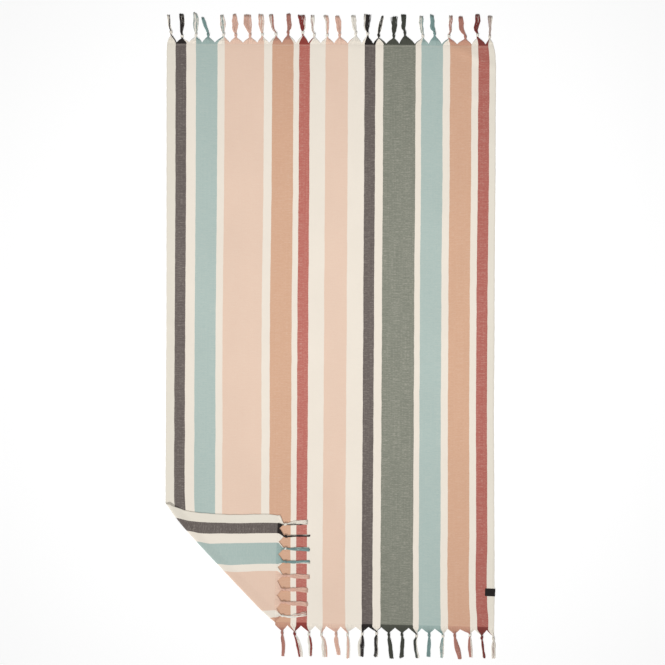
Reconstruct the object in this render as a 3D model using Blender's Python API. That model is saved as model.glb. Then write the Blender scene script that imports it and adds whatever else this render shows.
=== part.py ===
"""A flat-woven striped beach towel with knotted fringes, laid flat with one corner turned over.

Units are metres and +Z is up. +X runs across the towel and +Y runs along it, towards the far
fringe. The towel lies on the plane z = 0, with the origin under the middle of its outline.

The cloth is worked out in cloth coordinates: "across" is measured from the left selvedge, and
"along" from the near end of the weaving. place_flat() lays such a point on the floor, and
turned_over() lays it on top of the front, past the fold. Each fringe stands on the last few
picks of the weave, which are parted from the panel by a fine gap.
"""
import math
import random
from collections import namedtuple

import bmesh
import bpy
from mathutils import Vector

MM = 0.001

# The woven panel
WIDTH = 0.920
WOVEN_LENGTH = 1.610
THICKNESS = 0.0015
PARTING = 0.0003          # gap between pieces that touch
HEADING = 0.006           # width of the last picks, which carry a fringe

# How the panel lies on the floor
LENGTH_SHIFT = 0.0112     # brings the middle of the whole outline over the origin
SIDE_SHIFT = 0.0016
NEAR_SKEW = 0.0195        # the near end runs this much lower at the right selvedge
FAR_SKEW = 0.0064         # and the far end this much
SKEW_POWER = 1.3

# The turned corner
FOLD_SIDE = 0.311         # where the fold crosses the left selvedge, from the near end
FOLD_END = 0.300          # where it crosses the near end, from the left selvedge
LAYER_GAP = 0.0005        # the turned corner lies this far above the front
ROLL_RADIUS = 0.0019      # of the sheet's middle, round the fold
ROLL_END_RADIUS = 0.0045  # the fold is softer where it meets the selvedge
ROLL_FADE = 0.060
CORNER_CUT = 0.0100       # and its end is rounded off by this much
CUT_FADE = 0.034
SETTLE = 0.024            # the sheet comes down from the fold over this width
CORNER_SAG = 0.0065       # the turned stripes bow by this much
SAG_WAVES = 1.25
SAG_WIDTH = 0.290
CORNER_SLIP = 0.005       # and the turned cloth is drawn this far towards its own tassels
EASE_WIDTH = 0.040

# Facets
CORNER_ROWS = 9           # up to the fold's height
UPPER_ROWS = 8            # and past it
CORNER_COLUMNS = 4        # left of the fold
FLAT_COLUMNS = 6          # and right of it
ROLL_STEP = 0.00125       # between creases round the fold
ROLL_REACH = (-0.0165, 0.0060)           # first and last of them, from the fold's line
SETTLE_LINES = (0.010, 0.017, 0.026)     # creases where the turned sheet comes down
ROLL_SEARCH_STEPS = 40
SNAP = 1e-6

# The tassels
NEAR_WEB = 0.0065         # unwoven warp before the tassels part, at the near end
FAR_WEB = 0.0025          # and at the far end
WEB_MIDDLE = 0.5          # where the gathered warp has a ring, from the web to the knot
WEB_POWER = 0.9           # how soon it narrows
NECK_WIDTH = 0.0055
NECK_HEIGHT = 0.0035
KNOT_WIDTH = 0.0090
KNOT_HEIGHT = 0.0060
KNOT_LENGTH = 0.0080
KNOT_BELLY = 0.0027       # length of its widest part
TAIL_ROOT = 0.0072        # width of the tail where it leaves the knot
TAIL_HEIGHT = 0.0030
TIP_HEIGHT = 0.0020
TAIL_BOW = 0.0015         # most that a tail bows sideways
TIP_SPREAD = 0.003        # most that a lock falls short of the longest
LOCK_FILL = 0.76          # share of the tail's width that its locks fill
LOCK_STEPS = 4

# The label
LABEL_SIZE = (0.0285, 0.0215, 0.0010)
LABEL_PLACE = (0.9075, 0.0950)   # across and along, of its middle
LABEL_TURN = math.radians(-2.0)
LABEL_ROUND_STEPS = 4

# Sideways lean of the warp, to the left, in mm
LeanRow = namedtuple("LeanRow", "along left middle right")
LEAN_ROWS = (
    LeanRow(0.000, 3.4, 7.0, 4.7),
    LeanRow(0.180, 3.4, 7.0, 4.7),
    LeanRow(0.390, 2.8, 5.6, 5.6),
    LeanRow(0.560, 2.0, 4.2, 6.4),
    LeanRow(0.870, 0.5, 2.5, 4.5),
    LeanRow(1.370, 0.2, 0.8, 1.7),
    LeanRow(1.610, 0.0, 0.0, 0.0),
)

# Selvedges drawn in towards the outermost tassels
PullRow = namedtuple("PullRow", "across along inward")
PULL_ROWS = (
    PullRow(0.0, 0.0, 5.0),
    PullRow(WIDTH, 0.0, 1.0),
    PullRow(0.0, WOVEN_LENGTH, 1.5),
    PullRow(WIDTH, WOVEN_LENGTH, 8.0),
)
PULL_ALONG = 0.022
PULL_ACROSS = 0.025

# One row for each tassel, in mm: its knot's place from the left selvedge, the knot's and the
# tip's distance past the weave, the tip's lean to the right of the knot and the tail's width
Tassel = namedtuple("Tassel", "place knot lean reach width")
FAR_TASSELS = (
    Tassel(12, 30, -5, 80, 8),
    Tassel(43, 22, 1, 84, 14),
    Tassel(82, 23, -4, 87, 13),
    Tassel(116, 24, -14, 73, 8),
    Tassel(159, 24, -3, 81, 12),
    Tassel(193, 23, -2, 84, 14),
    Tassel(233, 23, -5, 81, 15),
    Tassel(267, 25, -4, 82, 13),
    Tassel(305, 26, -13, 83, 10),
    Tassel(339, 31, 2, 84, 11),
    Tassel(380, 31, -4, 82, 19),
    Tassel(412, 24, -3, 81, 9),
    Tassel(448, 24, 0, 81, 9),
    Tassel(483, 26, -4, 82, 14),
    Tassel(528, 30, -6, 82, 12),
    Tassel(561, 29, 0, 86, 18),
    Tassel(592, 25, 12, 80, 10),
    Tassel(634, 24, 2, 79, 18),
    Tassel(665, 33, -2, 84, 14),
    Tassel(715, 24, -3, 82, 12),
    Tassel(748, 32, -7, 86, 12),
    Tassel(788, 24, 6, 83, 11),
    Tassel(834, 23, -11, 80, 12),
    Tassel(868, 28, 1, 88, 13),
    Tassel(903, 23, 0, 83, 10),
)
NEAR_TASSELS = (
    Tassel(327, 26, 5, 96, 10),
    Tassel(364, 33, 19, 93, 14),
    Tassel(404, 33, 6, 92, 8),
    Tassel(439, 33, 12, 94, 14),
    Tassel(480, 32, 7, 86, 9),
    Tassel(512, 32, 2, 94, 8),
    Tassel(553, 29, 0, 92, 10),
    Tassel(593, 27, -2, 89, 8),
    Tassel(631, 29, 7, 93, 11),
    Tassel(665, 28, -2, 91, 11),
    Tassel(704, 31, 3, 92, 10),
    Tassel(739, 29, -1, 89, 9),
    Tassel(777, 29, -3, 89, 9),
    Tassel(810, 27, 17, 91, 10),
    Tassel(852, 26, 4, 87, 9),
    Tassel(885, 29, 7, 88, 8),
    Tassel(914, 33, 2, 87, 10),
)
CORNER_TASSELS = (
    Tassel(26, 23, -2, 88, 14),
    Tassel(64, 26, -5, 92, 8),
    Tassel(99, 26, -6, 93, 12),
    Tassel(134, 28, -5, 95, 9),
    Tassel(171, 28, 3, 94, 12),
    Tassel(208, 26, 0, 89, 14),
    Tassel(243, 27, 3, 90, 13),
    Tassel(274, 24, -4, 89, 10),
)
# Tails narrower than the width in mm have this many locks
LockRow = namedtuple("LockRow", "width locks")
LOCK_ROWS = (LockRow(9.5, 2), LockRow(12.5, 3), LockRow(15.5, 4))
MOST_LOCKS = 5

# Seeds of the tassels' small differences
FAR_SEED = 3
NEAR_SEED = 5
CORNER_SEED = 7

Finish = namedtuple("Finish", "name colour roughness")
CLOTH = Finish("woven_stripes", (0.80, 0.58, 0.45, 1.0), 0.90)
YARN = Finish("knotted_yarn", (0.84, 0.76, 0.66, 1.0), 0.95)
LABEL = Finish("label_weave", (0.02, 0.02, 0.02, 1.0), 0.70)


def clear_scene():
    """Remove every object of the open scene."""
    for thing in list(bpy.data.objects):
        bpy.data.objects.remove(thing, do_unlink=True)


def make_material(finish):
    """Make a plain cloth material."""
    material = bpy.data.materials.new(finish.name)
    material.use_nodes = True
    shader = material.node_tree.nodes["Principled BSDF"]
    shader.inputs["Base Color"].default_value = finish.colour
    shader.inputs["Roughness"].default_value = finish.roughness
    shader.inputs["Metallic"].default_value = 0.0
    return material


def ease(share):
    """Go smoothly from 0 to 1 as share does."""
    share = min(max(share, 0.0), 1.0)
    return share * share * (3.0 - 2.0 * share)


def warp_lean(across, along):
    """Give how far the warp leans to the left at a point of the cloth."""
    low, high = LEAN_ROWS[0], LEAN_ROWS[-1]
    for first, second in zip(LEAN_ROWS, LEAN_ROWS[1:]):
        if first.along <= along <= second.along:
            low, high = first, second
    if along < LEAN_ROWS[0].along:
        high = low
    if along > LEAN_ROWS[-1].along:
        low = high
    share = 0.0 if high is low else ease((along - low.along) / (high.along - low.along))
    left = low.left + (high.left - low.left) * share
    middle = low.middle + (high.middle - low.middle) * share
    right = low.right + (high.right - low.right) * share
    part = across / WIDTH
    return MM * (left * (1.0 - part) * (1.0 - 2.0 * part)
                 + middle * 4.0 * part * (1.0 - part)
                 + right * part * (2.0 * part - 1.0))


def selvedge_pull(across, along):
    """Give how far the cloth is drawn inwards near its corners, positive to the right."""
    pull = 0.0
    for row in PULL_ROWS:
        fade = math.exp(-abs(across - row.across) / PULL_ACROSS)
        fade *= math.exp(-abs(along - row.along) / PULL_ALONG)
        inward = 1.0 if row.across == 0.0 else -1.0
        pull += inward * row.inward * MM * fade
    return pull


def place_flat(across, along):
    """Lay a point of the cloth on the floor, seen from above."""
    part = min(max(across / WIDTH, 0.0), 1.0)
    share = min(max(along / WOVEN_LENGTH, 0.0), 1.0)
    skew = (NEAR_SKEW + (FAR_SKEW - NEAR_SKEW) * share) * part ** SKEW_POWER
    x = across - WIDTH / 2 + SIDE_SHIFT - warp_lean(across, along) + selvedge_pull(across, along)
    y = along - WOVEN_LENGTH / 2 + LENGTH_SHIFT - skew
    return Vector((x, y))


FOLD_CORNER = place_flat(0.0, FOLD_SIDE)
FOLD_LINE = (place_flat(FOLD_END, 0.0) - FOLD_CORNER).normalized()
FOLD_INWARD = Vector((-FOLD_LINE.y, FOLD_LINE.x))
CORNER_OUT = Vector((0.0, 1.0)) - 2.0 * FOLD_LINE.y * FOLD_LINE


def roll_radius(run):
    """Give the fold's radius at a distance from the left selvedge along the fold."""
    return ROLL_RADIUS + (ROLL_END_RADIUS - ROLL_RADIUS) * math.exp(-max(run, 0.0) / ROLL_FADE)


def roll_inset(run):
    """Give how far inside the fold's outer edge the sheet starts to rise."""
    return roll_radius(run) + THICKNESS / 2 + CORNER_CUT * math.exp(-max(run, 0.0) / CUT_FADE)


def past_fold(flat):
    """Give the run along the fold, and how far past the start of its roll a point lies."""
    offset = flat - FOLD_CORNER
    run = offset.dot(FOLD_LINE)
    return run, roll_inset(run) - offset.dot(FOLD_INWARD)


def corner_shift(across, along, inward):
    """Give how far the turned cloth is drawn out of square: its stripes bow, and it slips outwards."""
    share = (FOLD_SIDE - along) / FOLD_SIDE
    sag = CORNER_SAG * math.sin(SAG_WAVES * math.pi * share) * max(1.0 - across / SAG_WIDTH, 0.0)
    return (CORNER_OUT * CORNER_SLIP - Vector((0.0, sag))) * ease(inward / EASE_WIDTH)


def settled_height(inward, radius):
    """Give the height and slope of the turned sheet's middle, past the roll."""
    rest = THICKNESS + LAYER_GAP + THICKNESS / 2
    drop = THICKNESS / 2 + 2.0 * radius - rest
    share = min(inward / SETTLE, 1.0)
    slope = -drop * 6.0 * share * (1.0 - share) / SETTLE
    return rest + drop * (1.0 - ease(share)), slope


def turned_over(across, along):
    """Lay a point of the turned corner on the front: its place, middle height and slope."""
    flat = place_flat(across, along)
    run, past = past_fold(flat)
    radius = roll_radius(run)
    inward = past - math.pi * radius
    spot = flat + FOLD_INWARD * (past + inward) + corner_shift(across, along, inward)
    height, slope = settled_height(inward, radius)
    return spot, height, slope


def sheet_point(across, along, side):
    """Place a point of the panel's front (side 1) or back (side -1)."""
    flat = place_flat(across, along)
    run, past = past_fold(flat)
    half = side * THICKNESS / 2
    if past <= 0.0:
        return Vector((flat.x, flat.y, THICKNESS / 2 + half))
    radius = roll_radius(run)
    turn = past / radius
    if turn < math.pi:
        inward = past - radius * math.sin(turn) + half * math.sin(turn)
        spot = flat + FOLD_INWARD * inward
        height = THICKNESS / 2 + radius * (1.0 - math.cos(turn)) + half * math.cos(turn)
        return Vector((spot.x, spot.y, height))
    spot, height, slope = turned_over(across, along)
    tilt = 1.0 / math.hypot(1.0, slope)
    spot = spot + FOLD_INWARD * (half * slope * tilt)
    return Vector((spot.x, spot.y, height - half * tilt))


def far_point(across, out, lift):
    """Place a point of the far fringe: out is past the weave, lift above the floor."""
    spot = place_flat(across, WOVEN_LENGTH + out)
    return Vector((spot.x, spot.y, lift))


def near_point(across, out, lift):
    """Place a point of the near fringe on the floor."""
    spot = place_flat(across, -out)
    return Vector((spot.x, spot.y, lift))


def corner_point(across, out, lift):
    """Place a point of the turned corner's fringe on the front."""
    spot, height, _ = turned_over(across, -out)
    return Vector((spot.x, spot.y, height - THICKNESS / 2 + lift))


def roll_start(along):
    """Give the place across at which the roll starts, for a line along the near end."""
    low, high = 0.0, WIDTH / 2
    for _ in range(ROLL_SEARCH_STEPS):
        middle = (low + high) / 2
        if past_fold(place_flat(middle, along))[1] > 0.0:
            low = middle
        else:
            high = middle
    return high


# The near fringe starts beside the roll, and the corner's fringe stops short of it
NEAR_START = roll_start(0.0) + PARTING
CORNER_STOP = roll_start(HEADING) - (math.pi * ROLL_RADIUS + PARTING) / FOLD_INWARD.x


def finish_object(name, mesh, material):
    """Turn a closed bmesh into an object with outward faces."""
    bmesh.ops.recalc_face_normals(mesh, faces=mesh.faces)
    bmesh.ops.triangulate(mesh, faces=mesh.faces)
    data = bpy.data.meshes.new(name)
    mesh.to_mesh(data)
    mesh.free()
    data.materials.append(material)
    thing = bpy.data.objects.new(name, data)
    bpy.context.scene.collection.objects.link(thing)
    return thing


def spread(start, stop, steps):
    """List evenly spaced values from start to stop."""
    return [start + (stop - start) * step / steps for step in range(steps + 1)]


def panel_pattern():
    """Draw the panel's flat outline and facets, in cloth coordinates."""
    near_edge = HEADING + PARTING
    far_edge = WOVEN_LENGTH - HEADING - PARTING
    tab = (CORNER_STOP + PARTING, NEAR_START - PARTING)
    columns = spread(0.0, tab[0], CORNER_COLUMNS) + spread(tab[1], WIDTH, FLAT_COLUMNS)
    rows = [0.0] + spread(near_edge, FOLD_SIDE, CORNER_ROWS)
    rows += spread(FOLD_SIDE, far_edge, UPPER_ROWS)[1:]
    pattern = bmesh.new()
    corners = {}
    for i, across in enumerate(columns):
        for j, along in enumerate(rows):
            corners[i, j] = pattern.verts.new((across, along, 0.0))
    for i in range(len(columns) - 1):
        for j in range(len(rows) - 1):
            if j > 0 or columns[i] == tab[0]:
                pattern.faces.new(
                    (corners[i, j], corners[i + 1, j], corners[i + 1, j + 1], corners[i, j + 1]))
    for corner in [vertex for vertex in pattern.verts if not vertex.link_faces]:
        pattern.verts.remove(corner)
    crease_side = Vector((0.0, FOLD_SIDE, 0.0))
    direction = (Vector((FOLD_END, 0.0, 0.0)) - crease_side).normalized()
    inward = Vector((-direction.y, direction.x, 0.0))
    lines = spread(*ROLL_REACH, round((ROLL_REACH[1] - ROLL_REACH[0]) / ROLL_STEP))
    for beyond in lines + list(SETTLE_LINES):
        bmesh.ops.bisect_plane(
            pattern, geom=pattern.verts[:] + pattern.edges[:] + pattern.faces[:], dist=SNAP,
            plane_co=crease_side - inward * beyond, plane_no=inward)
    bmesh.ops.triangulate(pattern, faces=pattern.faces)
    return pattern


def build_panel(material):
    """Build the woven panel as one closed sheet, with its near left corner turned over."""
    pattern = panel_pattern()
    mesh = bmesh.new()
    front = {}
    back = {}
    for vertex in pattern.verts:
        front[vertex] = mesh.verts.new(sheet_point(vertex.co.x, vertex.co.y, 1))
        back[vertex] = mesh.verts.new(sheet_point(vertex.co.x, vertex.co.y, -1))
    for face in pattern.faces:
        mesh.faces.new([front[vertex] for vertex in face.verts])
        mesh.faces.new([back[vertex] for vertex in reversed(face.verts)])
    for edge in pattern.edges:
        if edge.is_boundary:
            first, second = edge.verts
            mesh.faces.new((front[first], front[second], back[second], back[first]))
    pattern.free()
    return finish_object("towel_cloth", mesh, material)


def lock_count(width):
    """Give the number of locks for a tail's width in mm."""
    for row in LOCK_ROWS:
        if width < row.width:
            return row.locks
    return MOST_LOCKS


def add_ring(mesh, ring, place, across, out, half, low, high):
    """Add the next four-sided section of a tassel, joined to the last one."""
    corners = ((-half, low), (half, low), (half, high), (-half, high))
    following = [mesh.verts.new(place(across + side, out, lift)) for side, lift in corners]
    for index in range(4):
        turn = (index + 1) % 4
        mesh.faces.new((ring[index], ring[turn], following[turn], following[index]))
    return following


def add_locks(mesh, ring, place, tassel, chance):
    """Part the knot's outer end into the locks of the tail and draw them out."""
    locks = lock_count(tassel.width)
    start = tassel.knot * MM + KNOT_LENGTH / 2
    centre = tassel.place * MM
    pitch = TAIL_ROOT / locks
    half = pitch * LOCK_FILL / 2
    middles = [centre + pitch * (index - (locks - 1) / 2) for index in range(locks)]
    low_row = []
    high_row = []
    for middle in middles:
        for across in (middle - half, middle + half):
            low_row.append(mesh.verts.new(place(across, start, 0.0)))
            high_row.append(mesh.verts.new(place(across, start, TAIL_HEIGHT)))
    mesh.faces.new([ring[0], ring[1]] + low_row[::-1])
    mesh.faces.new([ring[2], ring[3]] + high_row)
    mesh.faces.new((ring[1], ring[2], high_row[-1], low_row[-1]))
    mesh.faces.new((ring[3], ring[0], low_row[0], high_row[0]))
    for index in range(1, 2 * locks - 1, 2):
        mesh.faces.new((low_row[index], low_row[index + 1], high_row[index + 1], high_row[index]))
    tip_pitch = tassel.width * MM / (locks - 1 + LOCK_FILL)
    bow = chance.uniform(-TAIL_BOW, TAIL_BOW)
    for index, middle in enumerate(middles):
        first, second = 2 * index, 2 * index + 1
        strand = [low_row[first], low_row[second], high_row[second], high_row[first]]
        tip = centre + tassel.lean * MM + tip_pitch * (index - (locks - 1) / 2)
        reach = tassel.reach * MM - chance.uniform(0.0, TIP_SPREAD)
        for step in range(1, LOCK_STEPS + 1):
            share = step / LOCK_STEPS
            across = middle + (tip - middle) * share + bow * math.sin(math.pi * share)
            out = start + (reach - start) * share
            width = pitch + (tip_pitch - pitch) * share
            height = TAIL_HEIGHT + (TIP_HEIGHT - TAIL_HEIGHT) * share
            strand = add_ring(mesh, strand, place, across, out, width * LOCK_FILL / 2, 0.0, height)
        mesh.faces.new(strand)


def add_tassel(mesh, ring, place, tassel, web, edges, chance):
    """Gather a stretch of warp into a knot, and let its locks hang past it."""
    knot = tassel.knot * MM
    centre = tassel.place * MM
    neck = knot - KNOT_LENGTH / 2
    middle = (edges[0] + edges[1]) / 2
    half = (edges[1] - edges[0]) / 2
    narrowed = WEB_MIDDLE ** WEB_POWER
    ring = add_ring(mesh, ring, place,
                    middle + (centre - middle) * WEB_MIDDLE, web + (neck - web) * WEB_MIDDLE,
                    half + (NECK_WIDTH / 2 - half) * narrowed, 0.0,
                    THICKNESS + (NECK_HEIGHT - THICKNESS) * WEB_MIDDLE)
    ring = add_ring(mesh, ring, place, centre, neck, NECK_WIDTH / 2, 0.0, NECK_HEIGHT)
    for out in (knot - KNOT_BELLY / 2, knot + KNOT_BELLY / 2):
        ring = add_ring(mesh, ring, place, centre, out, KNOT_WIDTH / 2, 0.0, KNOT_HEIGHT)
    add_locks(mesh, ring, place, tassel, chance)


def build_fringe(name, material, tassels, ends, web, place, seed):
    """Build a row of knotted tassels on the last picks of the weave, as one solid."""
    chance = random.Random(seed)
    edges = [ends[0]]
    edges += [(first.place + second.place) / 2 * MM for first, second in zip(tassels, tassels[1:])]
    edges.append(ends[1])
    mesh = bmesh.new()
    posts = []
    for across in edges:
        inner = [mesh.verts.new(place(across, -HEADING, lift)) for lift in (0.0, THICKNESS)]
        outer = [mesh.verts.new(place(across, web, lift)) for lift in (0.0, THICKNESS)]
        posts.append((inner, outer))
    for (inner, outer), (next_inner, next_outer) in zip(posts, posts[1:]):
        mesh.faces.new((inner[0], next_inner[0], next_outer[0], outer[0]))
        mesh.faces.new((inner[1], next_inner[1], next_outer[1], outer[1]))
        mesh.faces.new((inner[0], next_inner[0], next_inner[1], inner[1]))
    for inner, outer in (posts[0], posts[-1]):
        mesh.faces.new((inner[0], inner[1], outer[1], outer[0]))
    for index, tassel in enumerate(tassels):
        left = posts[index][1]
        right = posts[index + 1][1]
        ring = [left[0], right[0], right[1], left[1]]
        add_tassel(mesh, ring, place, tassel, web, edges[index:index + 2], chance)
    return finish_object(name, mesh, material)


def build_label(material):
    """Build the bare tab, with a round fold at its outer end."""
    length, width, thickness = LABEL_SIZE
    radius = thickness / 2
    outline = [(-length / 2, 0.0), (length / 2 - radius, 0.0)]
    for step in range(1, LABEL_ROUND_STEPS):
        turn = math.pi * step / LABEL_ROUND_STEPS
        outline.append((length / 2 - radius + radius * math.sin(turn), radius - radius * math.cos(turn)))
    outline += [(length / 2 - radius, thickness), (-length / 2, thickness)]
    mesh = bmesh.new()
    side = mesh.faces.new([mesh.verts.new((x, -width / 2, z)) for x, z in outline])
    grown = bmesh.ops.extrude_face_region(mesh, geom=[side])
    bmesh.ops.translate(mesh, vec=(0.0, width, 0.0),
                        verts=[item for item in grown["geom"] if isinstance(item, bmesh.types.BMVert)])
    label = finish_object("side_label", mesh, material)
    spot = place_flat(*LABEL_PLACE)
    label.location = (spot.x, spot.y, THICKNESS + PARTING)
    label.rotation_euler = (0.0, 0.0, LABEL_TURN)
    return label


def main():
    """Build the towel's five pieces."""
    clear_scene()
    yarn = make_material(YARN)
    build_panel(make_material(CLOTH))
    build_fringe("far_fringe", yarn, FAR_TASSELS, (0.0, WIDTH), FAR_WEB, far_point, FAR_SEED)
    build_fringe("near_fringe", yarn, NEAR_TASSELS, (NEAR_START, WIDTH), NEAR_WEB, near_point, NEAR_SEED)
    build_fringe("corner_fringe", yarn, CORNER_TASSELS, (0.0, CORNER_STOP), NEAR_WEB, corner_point,
                 CORNER_SEED)
    build_label(make_material(LABEL))


main()
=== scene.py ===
"""The looks of a flat-woven striped beach towel with knotted fringes, laid flat with one corner turned over.

The packed model is the fixed frame, in metres: +X runs across the towel, +Y along it towards the far
fringe, and +Z up. Each piece lies where the solid that it stands for lies. The cloth is worked out in
cloth coordinates: "across" is measured from the left selvedge, and "along" from the near end of the
weaving. They are also the cloth's UV map, so that the weave follows the cloth round the fold.
"""

import math
import random
from collections import namedtuple
from functools import reduce

import bmesh
import bpy
import numpy as np
from bpy.props import FloatProperty, FloatVectorProperty, IntProperty, PointerProperty
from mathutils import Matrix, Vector


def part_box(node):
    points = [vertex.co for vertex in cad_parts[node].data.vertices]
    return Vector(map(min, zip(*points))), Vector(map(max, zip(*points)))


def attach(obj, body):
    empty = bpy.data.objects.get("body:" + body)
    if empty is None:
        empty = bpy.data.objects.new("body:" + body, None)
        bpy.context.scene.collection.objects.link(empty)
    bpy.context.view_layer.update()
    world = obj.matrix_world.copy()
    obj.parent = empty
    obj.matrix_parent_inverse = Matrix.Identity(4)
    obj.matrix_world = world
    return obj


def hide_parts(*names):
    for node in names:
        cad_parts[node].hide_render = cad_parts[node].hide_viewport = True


bl_info = {
    "name": "Striped Beach Towel",
    "version": (1, 0, 0),
    "blender": (4, 5, 0),
    "location": "View3D > Sidebar > Towel",
    "description": "Weaves, knots and lights a flat-woven beach towel round its packed solids",
    "category": "Add Mesh",
}

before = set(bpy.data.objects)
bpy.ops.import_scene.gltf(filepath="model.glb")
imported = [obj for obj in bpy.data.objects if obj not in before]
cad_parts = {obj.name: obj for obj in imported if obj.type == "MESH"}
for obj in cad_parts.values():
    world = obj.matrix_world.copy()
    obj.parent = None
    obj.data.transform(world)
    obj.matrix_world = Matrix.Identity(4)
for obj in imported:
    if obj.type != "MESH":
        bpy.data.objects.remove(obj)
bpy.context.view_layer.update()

MM = 0.001

# The woven panel
WIDTH = 0.920
WOVEN_LENGTH = 1.610
RIM_SHARE = 0.30          # a selvedge's outermost edge has this share of the thickness
END_SHARE = 0.35          # and the first and last picks have this one
SELVEDGE_FULL = 0.18      # the selvedges are this much fuller
FULL_PLACE = 0.002        # this far in from their edges, and over the same width
EDGE_WANDER = 0.00022     # unevenness of the selvedges
WANDER_REACH = 0.009

# How the panel lies on the floor
LENGTH_SHIFT = 0.0112     # brings the middle of the whole outline over the origin
SIDE_SHIFT = 0.0016
NEAR_SKEW = 0.0195        # the near end runs this much lower at the right selvedge
FAR_SKEW = 0.0064         # and the far end this much
SKEW_POWER = 1.3
PULL_ALONG = 0.022        # how far the tassels' pull on the selvedges reaches
PULL_ACROSS = 0.025
CREASE_TAPER = 0.12       # a ridge is a half wave along, less this share at both ends
LEVEL_RIM = 0.012         # the near end and the fold lie level for this width
FAR_RISE = 0.012          # and from there, and from the far end, the waves rise over these
NEAR_RISE = 0.030
FOLD_RISE = 0.040

# The turned corner
FOLD_SIDE = 0.311         # where the fold crosses the left selvedge, from the near end
FOLD_END = 0.300          # where it crosses the near end, from the left selvedge
ROLL_RADIUS = 0.0019      # of the sheet's middle, round the fold
ROLL_END_RADIUS = 0.0038  # the fold is softer where it meets the selvedge
ROLL_FADE = 0.060
CORNER_CUT = 0.0100       # and its end is rounded off by this much
CUT_FADE = 0.034
END_CUT = 0.0050          # and so is its other end
END_FADE = 0.020
END_DEPTH = 0.020
FOLD_BOW = 0.0008         # the fold bows outwards in its middle
FOLD_SLIDE = 0.0085       # near the fold, the cloth is drawn along it
SLIDE_SKEW = 0.58         # most of all where this power brings the middle
SLIDE_REACH = 0.050
SETTLE = 0.024            # the sheet comes down from the fold over this width
CORNER_SAG = 0.0058       # the turned stripes bow by this much
SAG_WAVES = 1.25
SAG_WIDTH = 0.290
CORNER_SLIP = 0.005       # and the turned cloth is drawn this far towards its own tassels
CORNER_RISE = 0.0024      # and its end this far towards the far end
RISE_REACH = 0.120
EASE_WIDTH = 0.020
LAYER_GAP = 0.0004
EDGE_LIFT = 0.0004        # its selvedge stands off the front by this much
LIFT_REACH = 0.010
WEB_LIFT = 0.0012         # and so do the roots of its tassels
WEB_RISE = 0.006          # which lift over this length, hold to the next and then come down
WEB_HOLD = 0.010
WEB_FALL = 0.020
GAP_FADE = 0.015

# The cloth's facets
ROLL_STEP = 0.0009
ROLL_REACH = (-0.0185, 0.0070)
SETTLE_LINES = (0.009, 0.011, 0.014, 0.017, 0.020, 0.024, 0.028)
RIM_LINES = (0.0, 0.0003, 0.0008, 0.0030)
SNAP = 1e-6
WEB_RINGS = 4
PRESSED_LENGTHS = 2
TAIL_RINGS = 7

# The tassels
NEAR_WEB = 0.0092         # unwoven warp before the tassels part, at the near end
CORNER_WEB = 0.0056       # at the turned corner
FAR_WEB = 0.0015          # and at the far end
KNOT_LENGTH = 0.0080
ROOT_DEPTH = 0.0030       # how far the yarns reach into the weave
NEAR_OVERHANG = 0.0038    # the last loose picks, past the even weave of the near end
WEB_BREADTH = 1.45        # the unwoven warp's yarns are pressed this much wider
WEB_FLATNESS = 0.42       # and this flat
FAR_SHOULDER = 1.35       # above 1, the gathered warp has rounded shoulders
NEAR_SHOULDER = 1.1
NECK_SIDE = 0.0021        # half of the gathered warp's width before the knot
NECK_LIFT = 0.0013        # and half of its height
TIP_TUCK = 0.0020         # the lowest yarns of a tail end this much short of the top ones
TIP_SPREAD = 0.0008       # and single yarns end this much apart
ROOT_LIFT = 0.0001        # they leave the weave this much above its middle
GATHER_STEPS = (0.30, 0.58, 0.84)
GATHERED = 0.88           # share of the way to the neck at which the warp is all gathered
KNOT_SWELL = 1.2          # the bundle is this much fuller inside the knot
FAN_WIDTH = 0.006         # a bundle this much wider than its neck is fanned out
FAN_EVEN = 0.6            # its yarns lie this much more evenly
FAN_FLAT = 0.4            # it is this much flatter
TIP_FLAT = 0.5            # and this much again at its tip
TAIL_SWELL = 1.0          # a tail starts this much wider than the neck, in mm
CORE_SHARE = 0.05         # no yarn lies in this innermost share of the bundle
WAVE_COUNTS = (1.2, 2.6)  # waves of a loose yarn, from fewest to most
WAVE_START = 1 / 3        # share of the tail over which they grow
YARN_SPREAD = (0.94, 1.06)

# The turns round a knot
WRAP_THICK = 0.55         # half of a turn's thickness, in yarns
WRAP_SIDE = 0.0013        # how far the turns stand off the neck at its sides
WRAP_TOP = 0.0008         # and at its top
WRAP_SLANT = 0.0013       # how far they run askew
WRAP_CLOSING = 0.28       # they lie this much closer at the sides, and twice that underneath
WRAP_MIX = 0.12           # they take yarns from this share of the warp to either side
WRAP_STEPS = 11
WRAP_START = -0.6         # a turn starts and stops under the knot, in half turns from the right
WRAP_STOP = 1.6

# The tab
TAB_CUTS = (9, 7)
TAB_FOLD = ((0.35, 0.55), (0.5, 0.0), (0.35, -0.55))    # rise and run, as shares of the bend
TAB_STEPS = 6
TAB_GAP = 1.1             # between the middles of its two layers, in thicknesses of the ribbon
TAB_REST = 0.7            # from the solid's underside to the middle of the lower one
TAB_SLANT = math.radians(2.0)

# The looks of the weave and of the yarns
WEFT_STOPS = (0.0020, -0.0035)     # the near end's picks give out from the first place to the second
LAST_PICKS = 0.0045       # a slightly paler band this far from the far end
BAND_HALF = 0.0016        # and half of its width
SELVEDGE_BAND = 0.0028    # a selvedge's dense warp is a little darker over this width
PAINTED_END_SHADE = 0.16    # painted shade: how much of the loose yarn's deeper colour darkens both ends, where the light falls off
TWIST_LENGTH = 0.0042     # one turn of a loose yarn
TWILL_PITCH = 0.0011      # between the ribbon's slanting ribs

# The stage
FLOOR_SIDE = 40.0
FLOOR_DROP = 0.0002
VIEW_CENTRE = Vector((0.0047, 0.0084, 0.0))
OVERHEAD_SPOT = (0.0, 0.0, 2.35)
OVERHEAD_SIDE = 1.5
NEAR_SPOT = (-1.4, -4.0, 4.4)
NEAR_SPREAD = math.radians(15.0)

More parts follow.
